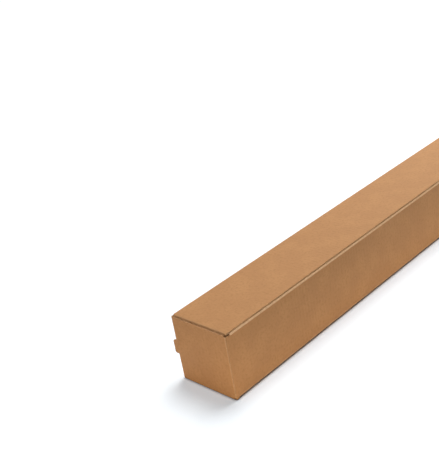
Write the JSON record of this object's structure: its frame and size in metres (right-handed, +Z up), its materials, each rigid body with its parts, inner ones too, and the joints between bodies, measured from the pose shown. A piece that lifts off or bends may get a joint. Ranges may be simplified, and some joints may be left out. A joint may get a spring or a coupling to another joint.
{
  "type": "square mailing tube",
  "caption": "Long square tube of brown corrugated board, folded from one sheet, with roll-over ends and a tuck lid along one side.",
  "frame": {"origin": "middle of the underside, on the surface that the tube lies on", "axes": "+Z up, +Y along the tube, +X towards the lid; the base is at -X and the front wall on top"},
  "size_m": [0.11, 0.88, 0.105],
  "materials": {
    "kraft_board": "matte brown kraft"
  },
  "bodies": {
    "tray": {"tray": "kraft_board"},
    "lid": {"lid": "kraft_board"}
  },
  "joints": [
    {"name": "lid_hinge", "type": "hinge", "parent": "tray", "child": "lid", "pos_m": [0.05415, 0, 0.00085], "axis": [0, 1, 0], "range_deg": [0, 90]}
  ]
}
